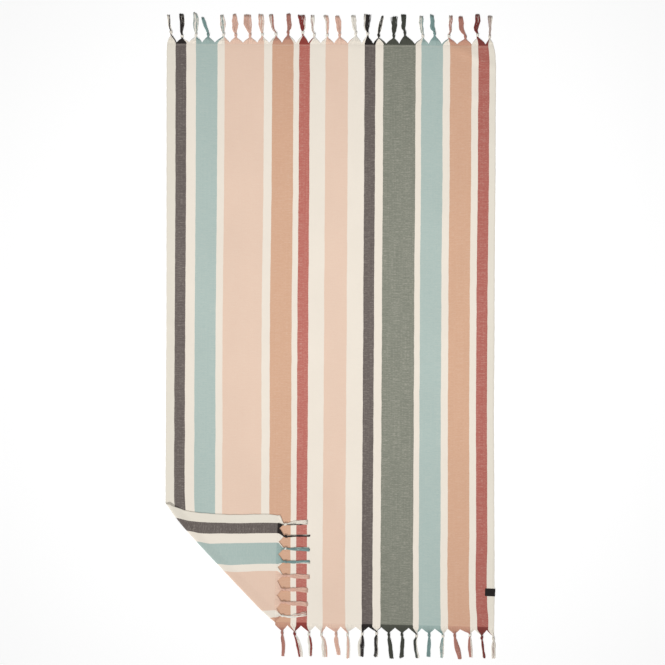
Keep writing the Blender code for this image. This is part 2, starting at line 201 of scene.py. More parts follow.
# Sideways lean of the warp, to the left, in mm
LeanRow = namedtuple("LeanRow", "along left middle right")
LEAN_ROWS = (
    LeanRow(0.000, 3.4, 7.0, 4.7),
    LeanRow(0.180, 3.4, 7.0, 4.7),
    LeanRow(0.390, 2.8, 5.6, 5.6),
    LeanRow(0.560, 2.0, 4.2, 6.4),
    LeanRow(0.870, 0.5, 2.5, 4.5),
    LeanRow(1.370, 0.2, 0.8, 1.7),
    LeanRow(1.610, 0.0, 0.0, 0.0),
)

# Selvedges drawn in towards the outermost tassels, in mm to the right
PullRow = namedtuple("PullRow", "across along shift")
PULL_ROWS = (
    PullRow(0.0, 0.0, 5.0), PullRow(WIDTH, 0.0, -1.0),
    PullRow(0.0, WOVEN_LENGTH, 1.5), PullRow(WIDTH, WOVEN_LENGTH, -8.0),
)

# The gentle waves of the cloth as it lies: each one's share of the whole, its length along x and along y,
# and where it starts
Wave = namedtuple("Wave", "share x y start")
WAVES = (Wave(0.5, 0.31, 0.90, 0.4), Wave(0.3, 0.83, -0.27, 1.9), Wave(0.2, 0.19, 0.41, 4.1))

# The same for a selvedge, where the run is the length along it for one radian of the wave
EdgeWave = namedtuple("EdgeWave", "share run start")
EDGE_WAVES = (EdgeWave(1.0, 0.0067, 0.0), EdgeWave(0.7, 0.0043, 1.3), EdgeWave(0.6, 0.0171, 0.0))

# Soft ridges, in mm on the floor
Crease = namedtuple("Crease", "x y to_x to_y height width")
CREASES = (
    Crease(338, 812, 462, 744, 2.6, 10),
    Crease(378, 672, 450, 648, 1.1, 12),
    Crease(174, -94, 296, -76, 0.7, 9),
    Crease(165, -641, 224, -626, 0.6, 9),
    Crease(318, -748, 352, -718, 0.6, 10),
    Crease(-462, 40, -420, 8, 1.0, 9),
)

# The warp, from the left selvedge: each stripe's width in mm, its shade, and how much of the loose
# yarn's own depth already shows where the weaving stops
Stripe = namedtuple("Stripe", "width shade depth")
STRIPES = (
    Stripe(25, "edge", 0.3), Stripe(30, "charcoal", 1.0), Stripe(27, "cream", 0.3),
    Stripe(60, "teal", 0.45), Stripe(20, "cream", 0.3), Stripe(110, "peach", 0.35),
    Stripe(23, "cream", 0.3), Stripe(60, "apricot", 0.5), Stripe(16, "cream", 0.3),
    Stripe(30, "red", 0.9), Stripe(44, "cream", 0.3), Stripe(63, "peach", 0.35),
    Stripe(46, "cream", 0.3), Stripe(30, "charcoal", 1.0), Stripe(22, "cream", 0.3),
    Stripe(90, "sage", 0.9), Stripe(16, "cream", 0.3), Stripe(60, "teal", 0.45),
    Stripe(20, "cream", 0.3), Stripe(60, "apricot", 0.5), Stripe(19, "cream", 0.3),
    Stripe(31, "wine", 0.9), Stripe(18, "edge", 0.3),
)

# How far the stripes lie to the left of their even places, in mm, at five places across
DriftRow = namedtuple("DriftRow", "along shifts")
DRIFT_ROWS = (
    DriftRow(0.008, (0.5, 2.2, 2.7, 1.8, -1.5)),
    DriftRow(0.069, (0.5, 2.2, 2.7, 1.8, 2.3)),
    DriftRow(0.140, (0.6, 2.3, 2.7, 1.7, 3.6)),
    DriftRow(0.240, (0.8, 2.7, 2.7, 1.5, 1.4)),
    DriftRow(0.474, (1.3, 3.5, 2.7, 0.9, 1.3)),
    DriftRow(0.809, (1.6, 5.3, 2.7, 1.1, 1.9)),
    DriftRow(1.256, (0.0, 0.9, 1.8, 0.5, 0.1)),
    DriftRow(1.563, (0.0, -0.3, 1.2, 0.5, 0.0)),
)

# One row for each tassel. In mm: its knot's place from the left selvedge, and the knot's and the tip's
# distance past the weave. Then for the tail, at the stations from the knot to the tip, in mm: how far to
# the right of the knot it lies, and its width. Then the share of the tassel's warp, from the left, that
# lies on top at the knot and at the tip. The cut is how much further out its right side ends, in mm.
# The wound share is that of the yarns that go round the knot, where it isn't the one on top. A turned
# bundle shows its yarns from right to left. The bunch is above 1 where the yarns from the right take more
# than their share of the tail, and below 1 where those from the left do. The notch to the right of the
# tassel lies this much to the right of midway to the next knot, in mm. A mixed bundle's yarns lie this
# far out of their order, as a share of the way round.
Tassel = namedtuple("Tassel", "place knot reach sides widths tops cut wound turned bunch notch mixed",
                    defaults=((0.5, 0.5), 0, None, False, 1.0, 0, 0.05))
TAIL_STATIONS = (0.0, 0.2, 0.45, 0.7, 1.0)
FAR_TASSELS = (
    Tassel(12, 30, 79, (-3.4, -4.8, -6, -6.8), (5.4, 6.5, 9, 10.5), (0.84, 0.6), wound=0.4, bunch=4,
           mixed=0.02),
    Tassel(43, 18.5, 82, (-2, 0, 0, -2), (9, 12.6, 15, 15), (0.4, 0.44), cut=-2, wound=0.92, mixed=0.05),
    Tassel(82, 23, 85, (-1, -1, 0, -2), (13, 16, 17, 12), (0.1, 0.1), cut=-7, wound=0.3, mixed=0.2),
    Tassel(116, 24, 72, (-3.2, -7, -11, -15), (8.5, 9.5, 10.5, 9), (0.4, 0.6), notch=-3),
    Tassel(159, 24, 79, (-1.8, -2, -2.6, -4.5), (12, 16, 15.5, 11), (0.4, 0.4), wound=0.3, mixed=0.25),
    Tassel(193, 23, 82, (-2.8, -2.2, -2.4, -3), (13.5, 19, 17.6, 10), (0.4, 0.6)),
    Tassel(233, 23, 81, (-3.2, -7.4, -8.2, -8), (15, 24, 26, 22), notch=3),
    Tassel(267, 25, 82, (-1.4, -2.8, -2.6, -5), (11, 16.5, 18.6, 14.5), (0.45, 0.4), wound=0.7, mixed=0.15),
    Tassel(305, 26, 82, (-8, -11, -12.4, -14.2), (7, 11, 13, 13), (0.36, 0.26), wound=0.1, mixed=0.2),
    Tassel(339, 31, 84, (3.4, 3.2, 2.6, 1.5), (13.5, 13.2, 14, 13), (0.5, 0.4), notch=2),
    Tassel(380, 31, 81, (1, -0.6, -2, -4), (16.6, 18.5, 21.5, 25), (0.9, 0.7), wound=0.1),
    Tassel(412, 24, 80, (-4.8, -4.4, -4.4, -4.9), (6.5, 9, 12.4, 12), (0.3, 0.4), wound=0.5, mixed=0.15),
    Tassel(448, 24, 80, (0, 0.9, 0.4, -3.2), (8, 10, 11.5, 15.5), (0.42, 0.42), wound=0.25, notch=2,
           mixed=0.22),
    Tassel(483, 26, 79, (-1.4, -2, -3, -6.5), (13, 14.5, 17, 12)),
    Tassel(528, 30, 80, (-3.4, -4.6, -5.4, -7), (11, 12.8, 15, 14), (0.6, 0.7)),
    Tassel(561, 29, 84, (-3, -2.4, -1.2, 0), (14.6, 18.4, 21, 22), (0.2, 0.19), cut=-2, wound=0.1,
           bunch=2.6, mixed=0.02),
    Tassel(592, 25, 79, (2.2, 4.4, 7.6, 11), (10, 12, 11.6, 7.8), (0.0, 0.05)),
    Tassel(634, 24, 78, (0.8, 1.6, 1, 2), (13.6, 17, 18.6, 20.5), (0.5, 0.4), cut=3),
    Tassel(665, 33, 84, (-4.4, -3, -2.8, -3.4), (11.5, 12.8, 15, 17), (0.5, 0.6), notch=3),
    Tassel(715, 24, 80, (-2.4, -4, -4.6, -3.8), (9.5, 10, 13, 12), (0.3, 0.3), wound=0.35, mixed=0.25),
    Tassel(748, 32, 84, (-5.6, -6.2, -6.2, -7.6), (17.4, 13.4, 13.6, 12.8), cut=-4),
    Tassel(788, 24, 82, (4.6, 4.2, 4.4, 5), (6.6, 8, 12, 13.4), (0.78, 0.4), wound=0.3, mixed=0.2),
    Tassel(834, 23, 80, (-7.6, -11.2, -11.4, -12.8), (12.5, 14, 15, 13), notch=1),
    Tassel(868, 28, 87, (-5, -2, 0.8, -0.2), (11.6, 16, 16, 15.4), (0.68, 0.68), wound=0.3, bunch=1.4,
           notch=7.5, mixed=0.02),
    Tassel(903, 23, 83, (-0.2, 0.2, 0, -0.2), (6.6, 8, 12, 14.4), (0.15, 0.3), wound=0.75, mixed=0.16),
)
NEAR_TASSELS = (
    Tassel(329, 31, 96, (0.5, 3.2, 3.2, 1.8), (11.4, 11, 10.6, 8.4), notch=-2.5),
    Tassel(364, 33, 97, (6.5, 10.6, 14, 17), (13, 15.4, 16, 14), (0.63, 0.63), wound=0.86, turned=True,
           notch=-2, mixed=0.13),
    Tassel(404, 33, 94, (1.6, 3.6, 4.6, 4.4), (14, 12, 11.4, 9), (0.0, 0.1), wound=0.7, mixed=0.1),
    Tassel(439, 33, 97, (6.2, 7.8, 8.4, 9.5), (12, 17, 18, 16.6), (0.6, 0.6), wound=0.3, notch=-7),
    Tassel(480, 32, 90, (0.2, 2, 4.8, 7.4), (13.4, 12.6, 12.6, 10.6), notch=-3),
    Tassel(512, 32, 98, (1.6, 1.8, 1.8, 0.6), (10, 11, 13, 12), (0.15, 0.15), wound=0.6, notch=2),
    Tassel(553, 29, 93, (-1.6, -3.2, -4.2, -3.6), (15, 19, 19, 14.6), (0.52, 0.52), wound=0.2, notch=-2.5,
           mixed=0.02),
    Tassel(593, 27, 93, (-1.8, -1.8, -1, -3), (12, 11, 11.4, 12), (0.28, 0.28), wound=0.65, bunch=0.6,
           notch=-3.5, mixed=0.02),
    Tassel(627, 30, 96, (1.7, 4.1, 5.7, 7.8), (12, 12.8, 13, 13), notch=-1),
    Tassel(663.5, 29, 93, (1.6, 0.2, -0.6, -1.8), (12.4, 13, 12, 14.6), cut=-3, notch=-1.5),
    Tassel(704, 31, 93, (-4, -3, -0.6, 2.3), (10, 10, 10, 11), (0.4, 0.4), wound=0.5, bunch=0.6, notch=-3,
           mixed=0.09),
    Tassel(739, 29, 89, (0.2, -0.2, -1.4, -1.8), (10, 10.2, 11.6, 11), notch=-3),
    Tassel(777, 30, 90, (-1.6, -2.8, -3.2, -3), (11, 14.4, 12, 10), (0.3, 0.3), wound=0.6, notch=-3,
           mixed=0.18),
    Tassel(810, 28, 93, (2.8, 6.4, 10.5, 14.4), (11, 14, 14, 11.4), notch=-6),
    Tassel(852, 26, 87, (0.4, 1, 2, 3.2), (11.4, 12.6, 13.4, 10.6), (0.58, 0.58), wound=0.75, notch=-3,
           mixed=0.1),
    Tassel(885, 31, 88, (1, 2.8, 4.2, 6.6), (7.6, 7.8, 8.6, 9.4), notch=-2, mixed=0.13),
    Tassel(917, 34, 89, (0.6, 0, 0, 0.4), (14, 15, 13.4, 13.4), (0.6, 0.6), wound=0.6),
)
CORNER_TASSELS = (
    Tassel(28.5, 23, 85, (-2.5, -4.5, -6, -6.3), (11, 13.5, 15.5, 17), (0.5, 0.3), wound=0.5, notch=-6),
    Tassel(62.5, 26, 93, (-1.8, -3.2, -4, -5.5), (6.4, 6.4, 6.4, 6.4), (0.35, 0.35), bunch=0.4, notch=-1.5,
           mixed=0.02),
    Tassel(96.5, 26, 93, (1.2, 0.2, -0.8, -0.8), (6.6, 10.5, 12.4, 13), (0.38, 0.38), wound=0.1, bunch=0.5,
           notch=-2, mixed=0.15),
    Tassel(133.5, 28, 95, (0, -0.6, -1.8, -2), (8.4, 9.4, 10, 10.8), (0.45, 0.68), notch=-4.2),
    Tassel(172, 28, 96, (0, -0.4, 0, -0.4), (11, 14.5, 15.4, 14), (0.6, 0.6), notch=-4.2),
    Tassel(210.5, 26, 93, (0, -1.2, -1.4, -0.8), (10, 12, 14.4, 16), notch=-1),
    Tassel(246, 27, 94, (2, 1.4, 1, 2), (11, 13.8, 15.4, 16), notch=-1),
    Tassel(285, 24, 92, (0.9, -1.8, -5.8, -10.2), (7, 10, 13, 15), (0.5, 0.05), wound=0.5, mixed=0.12),
)

FAR_SEED = 11
NEAR_SEED = 23
CORNER_SEED = 37


def linear(red, green, blue):
    """Turn a colour from 0 to 255 into the numbers that a shader takes."""
    shares = (level / 255 for level in (red, green, blue))
    return tuple(s / 12.92 if s <= 0.04045 else ((s + 0.055) / 1.055) ** 2.4 for s in shares)


def shade_property(name, description, *levels):
    """Make a colour property from levels of 0 to 255."""
    return FloatVectorProperty(name=name, description=description, default=linear(*levels), subtype="COLOR",
                               size=3, min=0.0, max=1.0)


def length_property(name, description, default):
    """Make a length property."""
    return FloatProperty(name=name, description=description, default=default, unit="LENGTH")


class TowelWovenShades(bpy.types.PropertyGroup):
    """Colours of the stripes as woven with the cream weft"""

    edge: shade_property("Edge", "Selvedge stripes", 236, 229, 215)
    cream: shade_property("Cream", "Plain stripes", 244, 234, 220)
    charcoal: shade_property("Charcoal", "Narrow dark stripes", 110, 101, 97)
    teal: shade_property("Teal", "Pale blue-green stripes", 182, 199, 193)
    peach: shade_property("Peach", "Wide pale stripes", 237, 208, 187)
    apricot: shade_property("Apricot", "Warm middle stripes", 221, 177, 147)
    red: shade_property("Red", "Brick red stripe", 196, 117, 105)
    wine: shade_property("Wine", "Darker red stripe", 186, 109, 98)
    sage: shade_property("Sage", "Grey-green stripe", 139, 141, 128)


class TowelYarnShades(bpy.types.PropertyGroup):
    """Colours of the loose warp yarns"""

    edge: shade_property("Edge", "Selvedge yarn", 232, 225, 213)
    cream: shade_property("Cream", "Plain yarn", 235, 230, 220)
    charcoal: shade_property("Charcoal", "Dark yarn", 40, 34, 32)
    teal: shade_property("Teal", "Blue-green yarn", 127, 155, 152)
    peach: shade_property("Peach", "Pale rose yarn", 221, 182, 164)
    apricot: shade_property("Apricot", "Rose-brown yarn", 179, 126, 113)
    red: shade_property("Red", "Deep red yarn", 140, 56, 50)
    wine: shade_property("Wine", "Darker red yarn", 120, 52, 48)
    sage: shade_property("Sage", "Dark grey-green yarn", 66, 68, 60)


class TowelClothSettings(bpy.types.PropertyGroup):
    """Sizes of the woven panel"""

    thickness: length_property("Thickness", "Thickness of the cloth", 0.0012)
    facet: length_property("Facet", "Width of the cloth's facets", 0.0095)
    ripple: length_property("Ripple", "How far the cloth rises as it lies", 0.0009)
    end_pitch: length_property("End Pitch", "Distance between warp yarns", 0.00105)
    pick_pitch: length_property("Pick Pitch", "Distance between weft yarns", 0.00130)


class TowelFringeSettings(bpy.types.PropertyGroup):
    """Sizes of the fringes"""

    yarn: length_property("Yarn", "Diameter of a loose yarn", 0.00145)
    pitch: length_property("Yarn Pitch", "Distance between loose yarns", 0.00138)
    crimp: length_property("Crimp", "How far a loose yarn waves", 0.0006)
    fluff: FloatProperty(
        name="Fluff", description="How much fuller a yarn is past its knot", default=1.2, min=1.0)
    wraps: IntProperty(name="Wraps", description="Turns round a knot", default=6, min=2)


class TowelLabelSettings(bpy.types.PropertyGroup):
    """Sizes of the tab"""

    length: length_property("Length", "Length across the towel", 0.0285)
    width: length_property("Width", "Width along the towel", 0.0215)
    ribbon: length_property("Ribbon", "Thickness of the ribbon", 0.0004)
    shade: shade_property("Ribbon Shade", "Colour of the ribbon", 26, 21, 20)


class TowelStageSettings(bpy.types.PropertyGroup):
    """The floor, lights and camera"""

    view: length_property("View", "Side of the square in view", 1.857)
    height: length_property("Height", "Camera above the floor", 7.0)
    overhead: FloatProperty(name="Overhead", description="Power of the overhead light", default=23.0)
    near_side: FloatProperty(name="Near Side", description="Strength of the near light", default=1.9)
    sky: FloatProperty(name="Sky", description="Strength of the light all round", default=0.185)
    floor: FloatProperty(name="Floor", description="Brightness of the white floor", default=0.95)
    glow: FloatProperty(name="Glow", description="Light that the floor lets through", default=0.14)


# How the cloth lies

def clamp(share):
    """Keep a share between 0 and 1."""
    return min(max(share, 0.0), 1.0)


def ease(share):
    """Go smoothly from 0 to 1 as share does."""
    share = clamp(share)
    return share * share * (3.0 - 2.0 * share)


def part_way(first, second, share):
    """Go from the first value to the second as share goes from 0 to 1."""
    return first + (second - first) * share


def between(rows, along):
    """Give a table's rows on both sides of a place along the cloth, and the share of the way between."""
    pairs = list(zip(rows, rows[1:]))
    low, high = next((pair for pair in pairs if along <= pair[1].along), pairs[-1])
    return low, high, ease((along - low.along) / (high.along - low.along))


def warp_lean(across, along):
    """Give how far the warp leans to the left at a point of the cloth."""
    low, high, share = between(LEAN_ROWS, along)
    left, middle, right = (part_way(first, second, share) for first, second in zip(low[1:], high[1:]))
    part = across / WIDTH
    return MM * (left * (1.0 - part) * (1.0 - 2.0 * part)
                 + middle * 4.0 * part * (1.0 - part)
                 + right * part * (2.0 * part - 1.0))


def selvedge_pull(across, along):
    """Give how far the cloth is drawn inwards near its corners, positive to the right."""
    return MM * sum(
        row.shift * math.exp(-abs(across - row.across) / PULL_ACROSS - abs(along - row.along) / PULL_ALONG)
        for row in PULL_ROWS)


def stripe_place(across, along):
    """Give the even place of the warp that lies at a point of the cloth."""
    low, high, share = between(DRIFT_ROWS, along)
    column = clamp(across / WIDTH) * (len(low.shifts) - 1)
    left = min(int(column), len(low.shifts) - 2)
    first, second = (part_way(*row.shifts[left:left + 2], ease(column - left)) for row in (low, high))
    return across + part_way(first, second, share) * MM


def place_flat(across, along):
    """Lay a point of the cloth on the floor, seen from above."""
    skew = part_way(NEAR_SKEW, FAR_SKEW, clamp(along / WOVEN_LENGTH)) * clamp(across / WIDTH) ** SKEW_POWER
    x = across - WIDTH / 2 + SIDE_SHIFT - warp_lean(across, along) + selvedge_pull(across, along)
    return Vector((x, along - WOVEN_LENGTH / 2 + LENGTH_SHIFT - skew))


FOLD_CORNER = place_flat(0.0, FOLD_SIDE)
FOLD_RUN = (place_flat(FOLD_END, 0.0) - FOLD_CORNER).length
FOLD_LINE = (place_flat(FOLD_END, 0.0) - FOLD_CORNER).normalized()
FOLD_INWARD = Vector((-FOLD_LINE.y, FOLD_LINE.x))
CORNER_OUT = Vector((0.0, 1.0)) - 2.0 * FOLD_LINE.y * FOLD_LINE
FAR_EDGE = place_flat(WIDTH / 2, WOVEN_LENGTH).y


def crease_height(spot):
    """Give the height of the soft ridges at a place on the floor."""
    height = 0.0
    for row in CREASES:
        start = Vector((row.x, row.y)) * MM
        run = Vector((row.to_x, row.to_y)) * MM - start
        share = clamp((spot - start).dot(run) / run.length_squared)
        away = (spot - start - run * share).length / (row.width * MM)
        arch = math.sin(math.pi * part_way(CREASE_TAPER, 1.0 - CREASE_TAPER, share))
        height += row.height * MM * arch * math.exp(-away ** 2)
    return height


def relief(spot, ripple):
    """Give how far the cloth stands off the floor at a place, as it lies."""
    wave = sum(row.share * math.sin(2.0 * math.pi * (spot.x / row.x + spot.y / row.y) + row.start)
               for row in WAVES)
    height = ripple * (0.5 + 0.5 * wave) + crease_height(spot)
    inside = (spot - FOLD_CORNER).dot(FOLD_INWARD)
    ends = ease((FAR_EDGE - spot.y) / FAR_RISE) * ease((spot.y + FAR_EDGE - LEVEL_RIM) / NEAR_RISE)
    return height * ends * ease((inside - LEVEL_RIM) / FOLD_RISE)


def roll_radius(run):
    """Give the fold's radius at a distance from the left selvedge along the fold."""
    return part_way(ROLL_RADIUS, ROLL_END_RADIUS, math.exp(-max(run, 0.0) / ROLL_FADE))


def past_fold(flat, thickness):
    """Give the run along the fold, and how far past the start of its roll a point lies."""
    offset = flat - FOLD_CORNER
    run = offset.dot(FOLD_LINE)
    beyond = -offset.dot(FOLD_INWARD)
    part = clamp(run / FOLD_RUN)
    inset = roll_radius(run) + thickness / 2 - FOLD_BOW * math.sin(math.pi * part)
    inset += CORNER_CUT * math.exp(-part * FOLD_RUN / CUT_FADE)
    inset += END_CUT * math.exp((part - 1.0) * FOLD_RUN / END_FADE - (beyond / END_DEPTH) ** 2)
    return run, inset + beyond


def fold_slide(run, away):
    """Give how the cloth is drawn along the fold at a distance away from it."""
    drawn = math.sin(math.pi * clamp(run / FOLD_RUN) ** SLIDE_SKEW)
    return FOLD_LINE * (FOLD_SLIDE * drawn * math.exp(-(away / SLIDE_REACH) ** 2))


def turned_over(across, along, cloth):
    """Lay a point of the turned corner on the front: its place, middle height and slope."""
    flat = place_flat(across, along)
    run, past = past_fold(flat, cloth.thickness)
    radius = roll_radius(run)
    inward = past - math.pi * radius
    share = (FOLD_SIDE - along) / FOLD_SIDE
    sag = CORNER_SAG * math.sin(SAG_WAVES * math.pi * share) * max(1.0 - across / SAG_WIDTH, 0.0)
    rise = CORNER_RISE * ease(1.0 - along / RISE_REACH)
    drawn = (CORNER_OUT * CORNER_SLIP + Vector((0.0, rise - sag))) * ease(inward / EASE_WIDTH)
    spot = flat + FOLD_INWARD * (past + inward) + drawn + fold_slide(run, inward)
    rest = 1.5 * cloth.thickness + LAYER_GAP
    drop = cloth.thickness / 2 + 2.0 * radius - rest
    settled = min(inward / SETTLE, 1.0)
    slope = -drop * 6.0 * settled * (1.0 - settled) / SETTLE
    lifted = EDGE_LIFT * math.exp(-across / LIFT_REACH) * ease(inward / EASE_WIDTH)
    height = rest + drop * (1.0 - ease(settled)) + relief(spot, cloth.ripple) + lifted
    return spot, height, slope


def selvedge_wave(across, along):
    """Give the small unevenness of the selvedges, in metres to the right."""
    wave = sum(row.share * math.sin(along / row.run + row.start) for row in EDGE_WAVES)
    edge = math.exp(-across / WANDER_REACH) - math.exp((across - WIDTH) / WANDER_REACH)
    return EDGE_WANDER * wave * edge


def sheet_point(across, along, side, half, cloth):
    """Place a point of the cloth's front (side 1) or back (side -1)."""
    wavy = across + selvedge_wave(across, along)
    flat = place_flat(wavy, along)
    run, past = past_fold(flat, cloth.thickness)
    half = side * half
    if past <= 0.0:
        flat = flat + fold_slide(run, past)
        return *flat, cloth.thickness / 2 + half + relief(flat, cloth.ripple)
    radius = roll_radius(run)
    turn = past / radius
    if turn < math.pi:
        spot = flat + FOLD_INWARD * (past - (radius - half) * math.sin(turn)) + fold_slide(run, 0.0)
        return *spot, cloth.thickness / 2 + radius - (radius - half) * math.cos(turn)
    spot, height, slope = turned_over(wavy, along, cloth)
    tilt = 1.0 / math.hypot(1.0, slope)
    return *(spot + FOLD_INWARD * (half * slope * tilt)), height - half * tilt


def fringe_point(row, across, out, lift, cloth):
    """Place a point of a fringe: out past the end of the weave, and lift above what it lies on."""
    if row.turned:
        spot, height, _ = turned_over(across, -out, cloth)
        lift += height - cloth.thickness / 2 - LAYER_GAP * ease(out / GAP_FADE)
        lift += WEB_LIFT * ease(out / WEB_RISE) * (1.0 - ease((out - WEB_HOLD) / WEB_FALL))
    else:
        spot = place_flat(across, row.end + row.way * out)
    return Vector((*spot, lift))


def roll_start(along, thickness):
    """Give the place across at which the roll starts, for a line along the near end."""
    low, high = 0.0, WIDTH / 2
    for _ in range(40):
        middle = (low + high) / 2
        if past_fold(place_flat(middle, along), thickness)[1] > 0.0:
            low = middle
        else:
            high = middle
    return high


# The woven panel

def spread(start, stop, steps):
    """List evenly spaced values from start to stop."""
    return [start + (stop - start) * step / steps for step in range(steps + 1)]


def grid_lines(start, stop, facet):
    """List the lines of a grid from start to stop, closer together at both rims."""
    inner = spread(start + RIM_LINES[-1], stop - RIM_LINES[-1], round((stop - start) / facet))
    low = [start + line for line in RIM_LINES[:-1]]
    return low + inner + [stop - line for line in reversed(RIM_LINES[:-1])]


def cloth_pattern(cloth):
    """Draw the flat cloth's facets, in cloth coordinates, with fine ones round the fold."""
    columns = grid_lines(0.0, WIDTH, cloth.facet)
    rows = grid_lines(-NEAR_OVERHANG, WOVEN_LENGTH, cloth.facet)
    pattern = bmesh.new()
    corners = [[pattern.verts.new((across, along, 0.0)) for along in rows] for across in columns]
    for left, right in zip(corners, corners[1:]):
        for j in range(len(rows) - 1):
            pattern.faces.new((left[j], right[j], right[j + 1], left[j + 1]))
    crease = Vector((0.0, FOLD_SIDE, 0.0))
    direction = (Vector((FOLD_END, 0.0, 0.0)) - crease).normalized()
    inward = Vector((-direction.y, direction.x, 0.0))
    lines = spread(*ROLL_REACH, round((ROLL_REACH[1] - ROLL_REACH[0]) / ROLL_STEP))
    for beyond in lines + list(SETTLE_LINES):
        bmesh.ops.bisect_plane(
            pattern, geom=pattern.verts[:] + pattern.edges[:] + pattern.faces[:], dist=SNAP,
            plane_co=crease - inward * beyond, plane_no=inward)
    bmesh.ops.triangulate(pattern, faces=[face for face in pattern.faces if len(face.verts) > 4])
    pattern.verts.index_update()
    return pattern


def rim_half(across, along, thickness):
    """Give half the cloth's thickness: rounded and fuller at the selvedges, and thinner at the ends."""
    side = min(across, WIDTH - across)
    end = min(along + NEAR_OVERHANG, WOVEN_LENGTH - along)
    rounded = math.sqrt(max(1.0 - (1.0 - min(side / RIM_LINES[2], 1.0)) ** 2, 0.0))
    fuller = 1.0 + SELVEDGE_FULL * math.exp(-((side - FULL_PLACE) / FULL_PLACE) ** 2)
    thinner = part_way(END_SHARE, 1.0, min(end / RIM_LINES[3], 1.0))
    return thickness / 2 * part_way(RIM_SHARE, 1.0, rounded) * fuller * thinner


def add_map(mesh, name, places):
    """Give a mesh a UV map from one place for each corner."""
    layer = mesh.uv_layers.new(name=name)
    layer.data.foreach_set("uv", np.asarray(places, np.float32).ravel())


def link_mesh(name, mesh, material):
    """Put a finished mesh into the scene."""
    mesh.materials.append(material)
    mesh.shade_smooth()
    thing = bpy.data.objects.new(name, mesh)
    bpy.context.scene.collection.objects.link(thing)
    return thing


def build_cloth(cloth, material):
    """Build the woven panel as one thin closed sheet, with its near left corner turned over."""
    pattern = cloth_pattern(cloth)
    flat = [tuple(vertex.co.xy) for vertex in pattern.verts]
    count = len(flat)
    halves = [rim_half(across, along, cloth.thickness) for across, along in flat]
    points = [sheet_point(*spot, 1, half, cloth) for spot, half in zip(flat, halves)]
    points += [sheet_point(*spot, -1, half, cloth) for spot, half in zip(flat, halves)]
    faces = [[vertex.index for vertex in face.verts] for face in pattern.faces]
    faces += [[index + count for index in reversed(face)] for face in faces]
    for edge in pattern.edges:
        if edge.is_boundary:
            loop = edge.link_loops[0]
            first, second = loop.vert.index, loop.link_loop_next.vert.index
            faces.append([second, first, first + count, second + count])
    pattern.free()
    mesh = bpy.data.meshes.new("woven_towel")
    mesh.from_pydata(points, [], faces)
    corners = np.empty(len(mesh.loops), np.int32)
    mesh.loops.foreach_get("vertex_index", corners)
    even = [(stripe_place(across, along), along) for across, along in flat]
    add_map(mesh, "weave", np.array(even)[corners % count])
    add_map(mesh, "OFBake", bake_places(mesh, np.array(flat)[corners % count], corners >= count))
    return link_mesh("woven_towel", mesh, material)


def bake_places(mesh, places, back):
    """Spread the cloth over the whole square for a bake, with strips beside it for the rims."""
    margin, strip = 0.006, 0.003
    strip = 0.003
    rim = np.zeros(len(places), bool)
    for polygon in mesh.polygons:
        loops = slice(polygon.loop_start, polygon.loop_start + polygon.loop_total)
        rim[loops] = back[loops].any() and not back[loops].all()
    spots = (places + (0.0, NEAR_OVERHANG)) / (WIDTH, WOVEN_LENGTH + NEAR_OVERHANG)
    outward = np.where(spots < SNAP, -strip, 0.0) + np.where(spots > 1.0 - SNAP, strip, 0.0)
    spots = margin + spots * (1.0 - 2.0 * margin)
    return spots + outward * (rim & back)[:, None]


# The fringes

